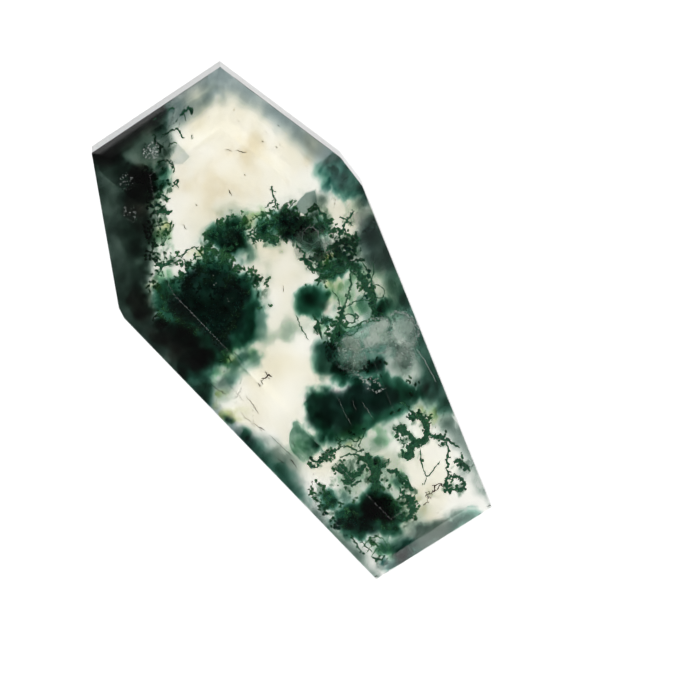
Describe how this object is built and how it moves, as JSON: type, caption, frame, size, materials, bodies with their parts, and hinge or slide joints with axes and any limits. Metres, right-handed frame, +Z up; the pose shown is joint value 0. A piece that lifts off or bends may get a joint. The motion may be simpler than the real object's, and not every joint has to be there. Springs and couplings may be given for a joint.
{
  "type": "coffin-cut moss agate",
  "caption": "Flat see-through agate cut to a long coffin outline with stepped facets, to set in jewellery or to display; green moss-like growths fill its inside.",
  "frame": {"origin": "under the middle of the outline, at the height of the flat base that the stone rests on", "axes": "+Z up through the table, +Y along the stone from its narrow foot to its head, +X to the right shoulder seen from above"},
  "size_m": [0.009, 0.0172, 0.0032],
  "materials": {
    "agate": "polished see-through chalcedony, cream where clear",
    "moss": "dull dark green mineral growths inside the stone",
    "cloud": "milky grey-white quartz inside the stone"
  },
  "bodies": {
    "root": {"coffin_cut_stone": "agate"}
  },
  "joints": []
}
